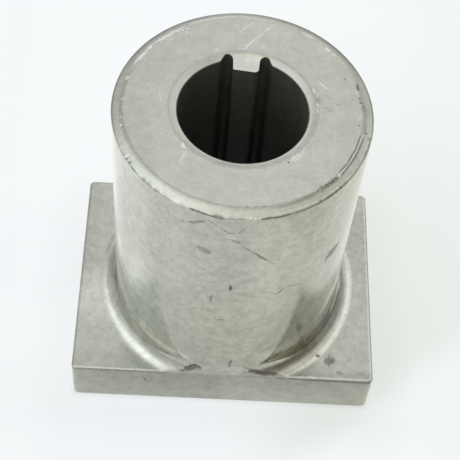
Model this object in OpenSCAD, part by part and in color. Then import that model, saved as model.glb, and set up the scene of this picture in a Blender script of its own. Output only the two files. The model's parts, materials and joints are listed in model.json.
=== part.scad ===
// Blade adapter for a garden mower: a bored hub that slides on the engine's crankshaft and is turned
// by the key inside its bore, and a flange at its foot that carries the blade.
// The real one is a single piece of steel, so it is a single node.
//
// Millimetres. The origin is on the bore's axis in the plane of the flange's underside.
// +Z runs up the hub, X runs along the flange, and the key stands on the +Y side of the bore.

/* [Hub] */
// Outside diameter of the hub
hub_d = 44.4; // [38:0.1:54]
// Height of the whole adapter, from the flange's underside to the hub's top face
total_h = 65.4; // [30:0.1:110]
// Width of the bevel round the top face
hub_bevel_w = 1.8; // [0.4:0.1:4]
// Depth of the bevel round the top face
hub_bevel_h = 0.75; // [0.3:0.05:4]
// Radius of the fillet between the hub and the flange
fillet_r = 3.2; // [1:0.1:6]

/* [Flange] */
// Length of the flange, from end to end
flange_l = 58.6; // [56:0.1:90]
// Thickness of the flange
flange_t = 10.9; // [6:0.1:18]
// How far the hub's side lies inside the flange's front and back faces, which are nearly flush with it
side_inset = 0.05; // [0.02:0.01:3]
// Radius of the flange's four upright corners
corner_r = 1; // [0.6:0.1:6]
// Width of the small bevel along the flange's edges
edge_bevel = 0.3; // [0.1:0.05:0.5]

/* [Bore] */
// Diameter of the bore, for a 22.2 mm (7/8 inch) crankshaft
bore_d = 22.25; // [18:0.05:28]
// Width of the bevel at both mouths of the bore
bore_bevel_w = 1.25; // [0.4:0.05:3]
// Depth of the bevel at both mouths of the bore
bore_bevel_h = 0.7; // [0.3:0.05:3]

/* [Key] */
// Width of the key where it leaves the bore's wall
key_w = 4.76; // [3:0.02:7]
// How far the key stands out of the bore's wall
key_h = 2.4; // [1.2:0.05:4]
// Lean of each side of the key, in degrees
key_draft = 3.5; // [0:0.5:8]
// Radius along the two edges of the key's tip
key_tip_r = 0.35; // [0.1:0.05:0.8]
// Turn of the key from the flange's centre line, clockwise from above, in degrees
key_turn = 2.2; // [-10:0.1:10]
// Radius of the round end of the relief groove on each side of the key
relief_r = 0.85; // [0.5:0.05:1.5]
// How far the relief grooves reach beyond the bore's wall, measured along the key
relief_depth = 0.6; // [0.3:0.05:2]
// Slope of each relief groove's far side, where it runs out into the bore, in degrees
relief_flare = 28; // [5:1:40]

/* [Hidden] */

hub_r = hub_d / 2;
bore_r = bore_d / 2;
flange_w = hub_d + 2 * side_inset;
flange_mid = flange_t / 2;

// The revolved hub stops inside the flange, so that the flange alone shapes the underside
turned_foot = flange_mid;

// Cutters pass this far beyond the faces that they cut
past = 1;

// The key's outline, in its own frame: the key points down to -Y from the bore's wall above it
key_tip_y = bore_r - key_h;
key_root_y = bore_r + relief_depth;
tip_centre_y = key_tip_y + key_tip_r;
tip_centre_x = key_w / 2 - (bore_r - tip_centre_y) * tan(key_draft) - key_tip_r / cos(key_draft);

// The relief groove's outline: a round end beside the key's root, and a sloping far side
groove_x = key_w / 2 + relief_r;
groove_y = bore_r + relief_depth - relief_r;
far_side_x = groove_x + relief_r * cos(relief_flare);
far_side_y = groove_y + relief_r * sin(relief_flare);
far_side_run = bore_r / 2;

// Fine enough that every arc is taken as a true curve
$fn = 96;

// Side view of the hub as a lathe would cut it, with the hollow fillet at its foot
module turned_profile() {
    difference() {
        union() {
            polygon([
                [0, turned_foot], [hub_r, turned_foot], [hub_r, total_h - hub_bevel_h],
                [hub_r - hub_bevel_w, total_h], [0, total_h]
            ]);
            translate([0, turned_foot])
                square([hub_r + fillet_r, flange_t + fillet_r - turned_foot]);
        }
        translate([hub_r + fillet_r, flange_t + fillet_r])
            circle(r = fillet_r);
    }
}

// Bar with its four long edges bevelled, laid along X and centred on the origin
module bevelled_bar(length, width, height, bevel) {
    half_w = width / 2;
    half_h = height / 2;
    translate([-length / 2, 0, 0])
        rotate([90, 0, 90])
            linear_extrude(length)
                polygon([
                    [-half_w + bevel, -half_h], [half_w - bevel, -half_h], [half_w, -half_h + bevel],
                    [half_w, half_h - bevel], [half_w - bevel, half_h], [-half_w + bevel, half_h],
                    [-half_w, half_h - bevel], [-half_w, -half_h + bevel]
                ]);
}

// Upright round corner of the flange, with the same bevel at its top and bottom
module corner_post(r, height, bevel) {
    rotate_extrude()
        polygon([
            [0, -height / 2], [r - bevel, -height / 2], [r, -height / 2 + bevel],
            [r, height / 2 - bevel], [r - bevel, height / 2], [0, height / 2]
        ]);
}

// Flange block with round corners and bevelled edges
module flange() {
    translate([0, 0, flange_mid]) {
        bevelled_bar(flange_l - 2 * corner_r, flange_w, flange_t, edge_bevel);
        rotate([0, 0, 90])
            bevelled_bar(flange_w - 2 * corner_r, flange_l, flange_t, edge_bevel);
        for (side_x = [-1, 1], side_y = [-1, 1])
            translate([side_x * (flange_l / 2 - corner_r), side_y * (flange_w / 2 - corner_r), 0])
                corner_post(corner_r, flange_t, edge_bevel);
    }
}

// Hub and fillet, trimmed by the planes of the flange's four sides
module hub() {
    intersection() {
        rotate_extrude()
            turned_profile();
        translate([-flange_l / 2, -flange_w / 2, 0])
            cube([flange_l, flange_w, total_h + past]);
    }
}

// Cross-section of the key, rooted in the wall behind the bore
module key_outline() {
    polygon([
        [-key_w / 2, key_root_y],
        [-key_w / 2, bore_r],
        [-tip_centre_x - key_tip_r * cos(key_draft), tip_centre_y - key_tip_r * sin(key_draft)],
        [-tip_centre_x, key_tip_y],
        [tip_centre_x, key_tip_y],
        [tip_centre_x + key_tip_r * cos(key_draft), tip_centre_y - key_tip_r * sin(key_draft)],
        [key_w / 2, bore_r],
        [key_w / 2, key_root_y]
    ]);
    for (side = [-1, 1])
        translate([side * tip_centre_x, tip_centre_y])
            circle(r = key_tip_r);
}

// Cross-section of the relief groove on the key's +X side
module relief_outline() {
    translate([groove_x, groove_y])
        circle(r = relief_r);
    polygon([
        [key_w / 2, groove_y],
        [far_side_x, far_side_y],
        [far_side_x + far_side_run * sin(relief_flare), far_side_y - far_side_run * cos(relief_flare)],
        [key_w / 2, far_side_y - far_side_run * cos(relief_flare)]
    ]);
}

// Cross-section of everything that the broach and drill take out
module bore_outline() {
    rotate([0, 0, -key_turn]) {
        difference() {
            circle(r = bore_r);
            key_outline();
        }
        for (side = [0, 1])
            mirror([side, 0])
                relief_outline();
    }
}

// Countersink of one mouth of the bore, opening towards +Z
module mouth_bevel() {
    slope = bore_bevel_w / bore_bevel_h;
    translate([0, 0, -bore_bevel_h])
        cylinder(r1 = bore_r, r2 = bore_r + bore_bevel_w + past * slope, h = bore_bevel_h + past);
}

module adapter_body() {
    color([0.73, 0.74, 0.71])
        difference() {
            union() {
                flange();
                hub();
            }
            translate([0, 0, -past])
                linear_extrude(total_h + 2 * past)
                    bore_outline();
            translate([0, 0, total_h])
                mouth_bevel();
            mirror([0, 0, 1])
                mouth_bevel();
        }
}

adapter_body();
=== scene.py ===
"""Blade adapter for a garden mower: the finish of its steel, the light and the camera.

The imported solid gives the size. The body is made again here as one fine mesh of rings, with the soft
edges, dents and scuffs of the real one, and it stands in the solid's place.
"""
import json
import math

import bpy
import numpy as np
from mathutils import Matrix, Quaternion, Vector, noise


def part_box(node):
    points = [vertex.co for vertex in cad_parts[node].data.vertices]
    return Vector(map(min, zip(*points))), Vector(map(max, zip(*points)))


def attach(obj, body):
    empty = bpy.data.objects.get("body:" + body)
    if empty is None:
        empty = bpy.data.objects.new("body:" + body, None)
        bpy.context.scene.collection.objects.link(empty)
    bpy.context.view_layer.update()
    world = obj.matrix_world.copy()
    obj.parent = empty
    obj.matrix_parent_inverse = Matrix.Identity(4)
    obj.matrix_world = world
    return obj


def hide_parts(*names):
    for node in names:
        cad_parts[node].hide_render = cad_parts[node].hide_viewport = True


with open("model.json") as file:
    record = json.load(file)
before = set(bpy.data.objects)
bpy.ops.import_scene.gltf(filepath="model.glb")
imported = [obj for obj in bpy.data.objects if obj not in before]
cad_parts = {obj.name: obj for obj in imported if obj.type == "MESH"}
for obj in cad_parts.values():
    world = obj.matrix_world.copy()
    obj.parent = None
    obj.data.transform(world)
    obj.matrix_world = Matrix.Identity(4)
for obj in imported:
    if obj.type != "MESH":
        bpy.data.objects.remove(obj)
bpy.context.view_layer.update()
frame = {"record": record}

# Sizes, in millimetres and degrees
MM = 0.001
node_low, node_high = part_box("adapter_body")
mounts = {mount["name"]: mount for mount in frame["record"]["mounts"]}
TOTAL_H = node_high.z / MM
FLANGE_HALF_L = node_high.x / MM
FLANGE_HALF_W = node_high.y / MM
FLANGE_T = 10.9
CORNER_R = 1.0
SIDE_INSET = 0.05
HUB_R = FLANGE_HALF_W - SIDE_INSET
HUB_BEVEL_W = 1.8
HUB_BEVEL_H = 0.75
FILLET_R = 3.2
FILLET_END_R = HUB_R + FILLET_R
BORE_R = mounts["crankshaft_bore"]["dims"]["r_mm"]
BORE_BEVEL_W = 1.25
BORE_BEVEL_H = 0.7
MOUTH_R = BORE_R + BORE_BEVEL_W
KEY_W = 4.76
KEY_H = 2.4
KEY_DRAFT = math.radians(3.5)
KEY_TURN = math.radians(2.2)
KEY_TIP_SLANT = 0.15
RELIEF_R = 0.85
RELIEF_DEPTH = 0.6
RELIEF_FLARE = math.radians(28)

# Radii that handling has given the edges
KEY_TIP_R = 0.35
KEY_TIP_WORN_R = 0.75
RUN_OUT_R = 0.5
BORE_EDGE_R = 0.07
HUB_EDGE_R = 0.32
FLANGE_EDGE_R = 0.5
FOOT_EDGE_R = 0.5
BEVEL_SOFTNESS = 0.12

# Columns of the mesh round the part, and rings along each stretch of its section
COLUMNS = 640
MOUTH_RINGS = 14
TOP_RINGS = 18
BEVEL_RINGS = 8
EDGE_RINGS = 5
HUB_RINGS = 30
SWEEP_RINGS = 32
SIDE_RINGS = 8
FOOT_RINGS = 6
WALL_RINGS = 8


# Marks, each from one place to another, with its width in mm and its strength from 0 to 1.
# On the top face and the flange the places are x and y, and on the front face x and z. On the hub and
# its rim they are the arc from the middle of the front, to the right, and z.
TOP_BRIGHT = [
    (-0.4, 12.8, 1.9, 15.7, 0.3, 0.75), (1.9, 15.7, 5.2, 19.3, 0.26, 0.5), (-1.2, 16.5, 1.4, 19.4, 0.3, 0.45),
    (2.3, 15.7, 3.2, 16.7, 0.26, 0.4), (2.9, 13.7, 3.5, 14.5, 0.4, 0.35), (1.3, 20.5, 5.0, 19.9, 0.4, 0.3),
    (12.9, 6.3, 14.3, 5.2, 0.32, 0.75), (11.8, 5.0, 12.2, 4.2, 0.45, 0.5), (12.6, 1.5, 12.7, 1.3, 0.5, 0.85),
    (12.3, 0.8, 12.6, -0.1, 0.4, 0.4), (-18.8, 8.4, -16.7, 11.7, 0.5, 0.75), (-16.7, 11.7, -16.1, 12.9, 0.55, 0.8),
    (-15.3, 13.6, -12.4, 16.0, 0.5, 0.75), (-12.4, 16.0, -10.9, 17.3, 0.45, 0.7),
    (-11.9, 16.6, -11.8, 16.5, 0.55, 0.8), (-11.4, 15.9, -11.3, 15.9, 0.5, 0.6), (-11.0, 16.7, -10.8, 16.6, 0.6, 0.8),
    (-10.7, 15.6, -10.6, 15.6, 0.45, 0.6), (-10.2, 16.3, -10.0, 16.2, 0.5, 0.75), (-10.4, 17.0, -9.8, 17.2, 0.4, 0.6),
    (-4.9, 12.6, -4.9, 12.5, 0.5, 0.85), (-16.0, 4.1, -16.0, 4.0, 0.45, 0.75), (-19.7, 5.4, -19.7, 5.2, 0.6, 0.85),
    (-20.0, 5.0, -19.9, 4.9, 0.45, 0.7), (-20.3, 0.6, -20.3, 0.5, 0.5, 0.8), (-20.3, -3.2, -20.3, -3.3, 0.5, 0.75),
    (-20.2, -4.9, -20.2, -5.0, 0.5, 0.75), (-13.5, -6.4, -13.5, -6.5, 0.45, 0.7), (-14.3, 3.1, -13.8, -0.4, 0.35, 0.25),
    (-10.0, -8.3, -9.3, -9.1, 0.6, 0.75), (-9.3, -9.9, -10.2, -12.3, 0.35, 0.35), (14.2, 14.3, 14.8, 13.7, 0.65, 0.85),
    (15.4, 13.2, 15.9, 12.7, 0.5, 0.5), (10.1, 17.8, 12.1, 16.4, 0.5, 0.7), (8.0, -10.6, 9.7, -8.7, 0.5, 0.5),
    (8.5, -10.8, 10.2, -8.9, 0.45, 0.4), (9.5, -9.1, 10.6, -7.6, 0.4, 0.35), (6.6, -13.5, 6.7, -13.5, 0.45, 0.6),
    (15.7, -13.0, 16.0, -12.8, 0.42, 0.8),
]
TOP_BRIGHT_LINES = [
    (20.07, -4.27, 18.99, -7.67, 0.28, 0.5), (18.99, -7.67, 17.35, -10.84, 0.28, 0.5),
    (17.35, -10.84, 15.89, -12.87, 0.3, 0.5), (14.72, -16.0, 15.9, -14.83, 0.25, 0.6),
    (19.4, -9.9, 20.2, -8.15, 0.25, 0.4), (-9.37, 18.6, -6.3, 19.75, 0.4, 0.6), (-6.3, 19.75, -3.1, 20.5, 0.4, 0.65),
    (-3.1, 20.5, -1.3, 20.6, 0.4, 0.45), (1.1, 20.5, 5.0, 19.95, 0.36, 0.35),
    (11.5, -18.55, 12.6, -17.85, 0.32, 0.45), (1.6, -21.9, 1.8, -21.9, 0.42, 0.8), (2.3, -21.95, 2.5, -21.9, 0.45, 0.85), (3.0, -21.9, 3.2, -21.85, 0.42, 0.8),
]
TOP_DARK_LINES = [
    (19.68, -4.54, 18.73, -7.57, 0.3, 0.62), (18.73, -7.57, 17.31, -10.4, 0.3, 0.65),
    (17.31, -10.4, 15.92, -12.44, 0.3, 0.6), (20.12, -5.02, 19.23, -7.77, 0.28, 0.5),
    (19.23, -7.77, 17.96, -10.37, 0.28, 0.5), (17.96, -10.37, 16.34, -12.77, 0.28, 0.5),
]
TOP_DARK = [
    (17.3, 7.5, 17.4, 7.5, 0.45, 0.75), (19.4, 6.6, 19.6, 5.2, 0.55, 0.7), (19.7, 3.4, 19.8, 3.3, 0.7, 0.7),
    (20.0, 2.5, 20.1, 2.4, 0.7, 0.65), (20.5, 1.9, 20.6, 1.8, 0.6, 0.7), (19.6, -2.4, 19.7, -2.4, 0.55, 0.85),
    (20.7, -3.7, 20.7, -3.8, 0.65, 0.75), (18.5, -6.1, 18.5, -6.2, 0.45, 0.3),
    (15.6, -13.5, 15.4, -13.8, 0.5, 0.65), (15.2, -13.8, 15.0, -14.2, 0.5, 0.7), (14.8, -14.1, 14.7, -14.4, 0.5, 0.7),
    (14.5, -14.7, 14.3, -14.5, 0.45, 0.65), (14.1, -14.9, 13.9, -15.1, 0.55, 0.65), (13.7, -15.0, 13.6, -15.4, 0.5, 0.65),
    (13.3, -15.6, 13.0, -15.7, 0.5, 0.6), (12.9, -15.5, 12.7, -15.7, 0.45, 0.5), (12.5, -16.2, 12.2, -16.3, 0.5, 0.55),
    (12.2, -16.6, 9.4, -18.0, 0.5, 0.22), (20.3, 1.6, 20.7, 0.4, 1.0, 0.18),
    (7.6, -10.9, 7.7, -10.9, 0.5, 0.75), (8.3, -13.5, 10.9, -14.3, 0.7, 0.14), (12.7, 3.3, 13.0, 2.2, 0.45, 0.3),
    (12.9, 3.2, 12.9, 3.1, 0.5, 0.5), (12.5, 2.5, 12.6, 2.3, 0.45, 0.5), (13.1, 1.9, 13.2, 1.8, 0.5, 0.45),
    (15.9, 1.7, 16.5, 1.9, 0.5, 0.25), (14.5, 3.2, 14.9, 3.0, 0.5, 0.2),
    (12.4, 3.0, 12.5, 2.8, 0.45, 0.4), (13.7, 1.1, 15.0, 0.3, 0.6, 0.22), (13.3, 2.7, 13.4, 2.5, 0.45, 0.25),
    (0.6, -20.1, 1.5, -20.2, 0.4, 0.3), (2.3, -20.1, 2.6, -20.1, 0.4, 0.35), (3.4, -20.0, 4.0, -19.8, 0.4, 0.3),
]
RIM_BRIGHT = [
    (-23.2, 64.84, -23.0, 64.84, 0.4, 0.85), (-11.5, 64.75, -10.2, 64.65, 0.5, 0.9),
]
RIM_DARK = [
    (-24.1, 64.45, -23.9, 64.5, 0.4, 0.55), (-22.8, 64.7, -22.6, 64.7, 0.35, 0.6), (-21.9, 64.7, -21.7, 64.7, 0.4, 0.65),
    (-21.1, 64.6, -19.5, 64.6, 0.24, 0.4), (-17.8, 64.65, -17.2, 64.65, 0.3, 0.35), (-16.9, 64.7, -15.8, 64.7, 0.24, 0.3),
    (-15.1, 64.65, -14.1, 64.65, 0.26, 0.35), (-8.4, 64.65, -6.3, 64.6, 0.24, 0.7), (-6.3, 64.6, -4.1, 64.4, 0.3, 0.75),
    (-4.3, 64.45, -2.6, 64.3, 0.75, 0.55), (-2.9, 64.4, 0.8, 64.6, 0.22, 0.3), (3.4, 64.6, 5.2, 64.6, 0.26, 0.6),
    (5.2, 64.6, 8.4, 64.5, 0.34, 0.6), (8.4, 64.55, 13.8, 64.65, 0.2, 0.1), (13.8, 64.65, 14.1, 64.65, 0.4, 0.4),
    (15.0, 64.65, 18.0, 64.65, 0.2, 0.22), (18.2, 64.6, 18.4, 64.6, 0.4, 0.65), (18.4, 64.68, 26.0, 64.68, 0.2, 0.2),
    (26.0, 64.7, 29.1, 64.7, 0.2, 0.35), (30.0, 64.75, 30.2, 64.75, 0.4, 0.5),
]
HUB_DARK = [
    (-9.9, 60.2, -9.3, 60.6, 0.45, 0.35), (-8.3, 60.8, -5.7, 62.6, 0.6, 0.5), (-5.1, 63.2, -2.4, 61.3, 0.3, 0.5),
    (-2.4, 61.3, -1.7, 60.5, 0.3, 0.6), (-1.7, 60.5, -0.1, 60.6, 0.26, 0.5), (-0.1, 60.6, 0.9, 61.9, 0.26, 0.4),
    (-1.2, 58.7, 0.8, 57.5, 0.32, 0.55), (1.2, 56.4, 3.3, 54.4, 0.34, 0.6), (3.3, 54.4, 5.5, 51.8, 0.42, 0.65),
    (5.5, 51.8, 6.9, 50.2, 0.26, 0.4), (-6.3, 54.6, -4.4, 53.7, 1.5, 0.4), (-5.4, 58.6, -5.3, 58.6, 0.4, 0.3),
    (-16.1, 60.5, -14.1, 64.2, 0.3, 0.2), (-12.7, 47.6, -12.6, 47.5, 0.5, 0.28), (-13.6, 44.4, -13.5, 44.4, 0.5, 0.3),
    (-12.8, 40.8, -12.7, 40.6, 0.9, 0.16), (-10.0, 41.2, -9.9, 41.1, 0.55, 0.3), (-0.3, 44.2, -0.3, 42.8, 0.62, 0.85),
    (-3.4, 40.6, -3.7, 38.0, 0.5, 0.5), (-3.9, 35.6, -3.8, 34.8, 1.0, 0.2), (-2.0, 32.0, -0.9, 32.3, 0.6, 0.5),
    (1.2, 31.4, 1.5, 31.4, 0.5, 0.3), (-23.6, 51.4, -23.5, 51.3, 0.5, 0.5), (-23.5, 48.5, -23.4, 48.4, 0.5, 0.5),
    (22.4, 44.4, 21.1, 44.2, 0.4, 0.5), (21.3, 44.3, 18.7, 43.5, 2.5, 0.65), (18.9, 43.6, 18.2, 41.8, 0.45, 0.5),
    (5.3, 41.7, 7.8, 40.4, 0.5, 0.2), (8.0, 39.7, 9.1, 40.7, 0.42, 0.6), (9.1, 40.7, 9.9, 41.4, 0.35, 0.4),
    (9.9, 41.4, 12.9, 40.1, 0.4, 0.3), (1.3, 16.9, 1.0, 14.3, 0.5, 0.65),
]
HUB_BRIGHT = [(1.0, 38.2, 1.3, 38.1, 0.5, 0.7), (1.7, 33.3, 1.8, 33.2, 0.45, 0.5)]
FLANGE_DARK = [
    (20.5, -18.0, 20.9, -18.0, 2.7, 0.55), (18.5, -17.0, 18.6, -17.2, 0.85, 0.85),
    (22.2, -20.3, 23.1, -20.7, 0.8, 0.4), (26.5, -20.4, 27.9, -20.7, 0.6, 0.25),
    (-7.5, -21.6, -6.7, -21.6, 0.6, 0.8), (-6.6, -21.6, -5.9, -21.6, 0.8, 0.85),
    (-5.8, -21.6, -5.1, -21.7, 0.8, 0.85), (-5.1, -21.7, -4.4, -22.0, 0.6, 0.8), (-8.2, -22.0, -5.8, -22.0, 0.5, 0.7),
    (-12.5, -21.9, -8.2, -22.0, 0.3, 0.5), (-7.4, -21.85, -5.3, -21.85, 0.7, 0.75), (3.7, -21.9, 8.5, -21.82, 0.45, 0.55), (5.2, -21.85, 9.6, -21.72, 0.75, 0.7),
    (6.8, -21.85, 10.6, -21.65, 0.9, 0.7), (10.1, -21.85, 13.1, -21.95, 0.4, 0.5),
]
FLANGE_BRIGHT = [
    (28.7, 16.6, 28.7, 16.3, 0.4, 0.7), (28.8, 15.5, 28.8, 15.2, 0.4, 0.7), (16.9, -21.8, 17.9, -21.85, 0.45, 0.75),
]
FRONT_DARK = [(-15.4, 9.0, -14.9, 6.9, 0.45, 0.5), (-24.1, 8.6, -24.0, 8.6, 0.5, 0.45)]
NICK_DEPTH = 0.022
PIT_DEPTH = 0.06


# Outlines, seen from above

def unit(vector):
    """The vector at a length of one."""
    return vector / np.linalg.norm(vector)


def clock(angles):
    """Directions at these angles, counted clockwise from +Y."""
    return np.column_stack([np.sin(angles), np.cos(angles)])


def smooth_step(share):
    """0 to 1 with a gentle start and end."""
    share = np.clip(share, 0, 1)
    return share * share * (3 - 2 * share)


def soft_ramp(x):
    """x where it is above zero, else zero, with a soft bend between."""
    return (x + np.sqrt(x * x + BEVEL_SOFTNESS**2)) / 2


def round_corners(corners, arc_step=math.radians(6)):
    """Closed outline through corners, each an x, a y and the radius of its arc."""
    points = [np.array(corner[:2]) for corner in corners]
    outline = []
    for i, corner in enumerate(points):
        radius = corners[i][2]
        if radius == 0:
            outline.append(corner)
            continue
        before = unit(points[i - 1] - corner)
        after = unit(points[(i + 1) % len(points)] - corner)
        opening = math.acos(before @ after)
        turn = math.pi - opening
        centre = corner + unit(before + after) * radius / math.sin(opening / 2)
        first = corner + before * radius / math.tan(opening / 2) - centre
        last = corner + after * radius / math.tan(opening / 2) - centre
        steps = math.ceil(turn / arc_step)
        for k in range(steps + 1):
            done = turn * k / steps
            outline.append(centre + (math.sin(turn - done) * first + math.sin(done) * last) / math.sin(turn))
    return np.array(outline)


def keyed_outline():
    """Cross-section of the bore with its key and relief grooves, clockwise from the middle of the key's tip."""
    half_key = KEY_W / 2
    tip_x = half_key - KEY_H * math.tan(KEY_DRAFT)
    tip_y = BORE_R - KEY_H
    root_y = BORE_R + RELIEF_DEPTH
    lip_x = half_key + RELIEF_R + RELIEF_R * math.tan(math.pi / 4 - RELIEF_FLARE / 2)
    flare = np.array([math.sin(RELIEF_FLARE), -math.cos(RELIEF_FLARE)])
    lip = np.array([lip_x, root_y])
    along = lip @ flare
    run_out = lip - flare * (along + math.sqrt(along**2 - lip @ lip + BORE_R**2))
    bore_start = math.atan2(run_out[0], run_out[1]) + math.radians(2)
    bore = [(x, y, 0) for x, y in BORE_R * clock(np.linspace(bore_start, 2 * math.pi - bore_start, 300))]
    right = [
        (tip_x, tip_y - KEY_TIP_SLANT, KEY_TIP_WORN_R), (half_key, root_y, RELIEF_R), (lip_x, root_y, RELIEF_R),
        (run_out[0], run_out[1], RUN_OUT_R)
    ]
    left = [(-x, y, r) for x, y, r in reversed(right)]
    left[-1] = (-tip_x, tip_y + KEY_TIP_SLANT, KEY_TIP_R)
    return round_corners([(0, tip_y, 0)] + right + bore + left)


def spaced_evenly(outline, count):
    """That many points at even steps along a closed outline, and how far along it each one is."""
    closed = np.vstack([outline, outline[:1]])
    run = np.concatenate([[0], np.cumsum(np.linalg.norm(np.diff(closed, axis=0), axis=1))])
    places = np.arange(count) * run[-1] / count
    return np.column_stack([np.interp(places, run, closed[:, k]) for k in (0, 1)]), places


def fan_over_key(polar, run):
    """Clock angles at the mouth's ring for the columns from the key's middle to the far side of the bore."""
    past_tip = run > KEY_W / 2 + KEY_H / 2
    root = int(np.argmin(np.where(past_tip, polar, 2 * math.pi)))
    fanned = np.where(np.arange(len(run)) < root, polar[root] * run / run[root], polar)
    return np.maximum.accumulate(fanned)


def mouth_angles(wall, run):
    """Clock angle of each column where the mouth's bevel meets the top face, counted from the key."""
    polar = np.arctan2(wall[:, 0], wall[:, 1]) % (2 * math.pi)
    half = COLUMNS // 2
    polar[0] = 0
    polar[1:half] = np.where(polar[1:half] > math.pi, 0, polar[1:half])
    total = run[-1] + run[1]
    there = fan_over_key(polar[:half], run[:half])
    back_polar = 2 * math.pi - polar[:half:-1]
    back = 2 * math.pi - fan_over_key(back_polar, total - run[:half:-1])
    return np.concatenate([there, [math.pi], back[::-1]])


def outer_angles():
    """Clock angle of each column at the hub and beyond, closer together at the flange's corners."""
    fine = np.linspace(0, 2 * math.pi, 7200, endpoint=False)
    corner = math.atan2(FLANGE_HALF_L, FLANGE_HALF_W)
    density = np.ones_like(fine)
    for corner_angle in (corner, math.pi - corner, math.pi + corner, 2 * math.pi - corner):
        density += 3 * np.exp(-(((fine - corner_angle + KEY_TURN) / math.radians(1.6)) ** 2))
    off_key = np.minimum(fine, 2 * math.pi - fine)
    density += 0.9 * np.exp(-((off_key / math.radians(35)) ** 2))
    share = np.concatenate([[0], np.cumsum(density)])
    steps = np.interp(np.arange(COLUMNS) * share[-1] / COLUMNS, share, np.append(fine, 2 * math.pi))
    return steps + KEY_TURN


def reach(directions, inset):
    """Distance along each direction to the flange's outline, drawn in by the inset."""
    along_x, along_y = np.abs(directions).T + 1e-9
    to_end = (FLANGE_HALF_L - inset) / along_x
    to_side = (FLANGE_HALF_W - inset) / along_y
    centre_x = FLANGE_HALF_L - CORNER_R
    centre_y = FLANGE_HALF_W - CORNER_R
    level = along_x * centre_x + along_y * centre_y
    inside = level**2 - centre_x**2 - centre_y**2 + (CORNER_R - inset) ** 2
    to_corner = level + np.sqrt(np.maximum(inside, 0))
    on_end = to_end * along_y <= centre_y
    on_side = to_side * along_x <= centre_x
    return np.where(on_end, to_end, np.where(on_side, to_side, to_corner))


# Heights of the turned faces

def top_height(radius):
    """Height of the upper end at a radius: the mouth's bevel, the top face and the outer bevel."""
    mouth = soft_ramp(MOUTH_R - radius) - soft_ramp(BORE_R - radius)
    outer = soft_ramp(radius - HUB_R + HUB_BEVEL_W)
    return TOTAL_H - mouth * BORE_BEVEL_H / BORE_BEVEL_W - outer * HUB_BEVEL_H / HUB_BEVEL_W


def foot_height(radius):
    """Height of the underside at a radius, with the bevel of the lower mouth."""
    mouth = soft_ramp(MOUTH_R - radius) - soft_ramp(BORE_R - radius)
    return mouth * BORE_BEVEL_H / BORE_BEVEL_W


def sweep_point(run):
    """Radius and height at a run along the section from the foot of the hub's side, by the fillet, outwards."""
    quarter = FILLET_R * math.pi / 2
    turned = np.minimum(run, quarter) / FILLET_R
    radius = FILLET_END_R - FILLET_R * np.cos(turned) + np.maximum(run - quarter, 0)
    return radius, FLANGE_T + FILLET_R - FILLET_R * np.sin(turned)


def fillet_turn(radius):
    """How far round the fillet its section has turned at a radius."""
    return np.arccos(np.clip((FILLET_END_R - radius) / FILLET_R, 0, 1))


# Rings of points

def ring(plan, height):
    """One ring of points from its plan and its height."""
    return np.column_stack([plan, np.broadcast_to(height, len(plan))])


def stretch(first, last, count):
    """Rings from the first one towards the last one, which isn't among them."""
    return [first + (last - first) * k / count for k in range(count)]


def bend(first, corner, last, count):
    """Rings round an edge, from the first one towards the last one, which isn't among them."""
    shares = [k / count for k in range(count)]
    return [(1 - s) ** 2 * first + 2 * s * (1 - s) * corner + s * s * last for s in shares]


def eased(count, power=1.0):
    """Shares from 0 towards 1 that crowd both ends."""
    shares = np.arange(count) / count
    return (1 - power) * shares + power * smooth_step(shares)


class Section:
    """Collects the rings of the part's section, and the finish of the band that each ring starts."""

    def __init__(self):
        self.rings = []
        self.finishes = []

    def lay(self, finish, rings):
        self.rings += list(rings)
        self.finishes += [finish] * len(rings)


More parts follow.
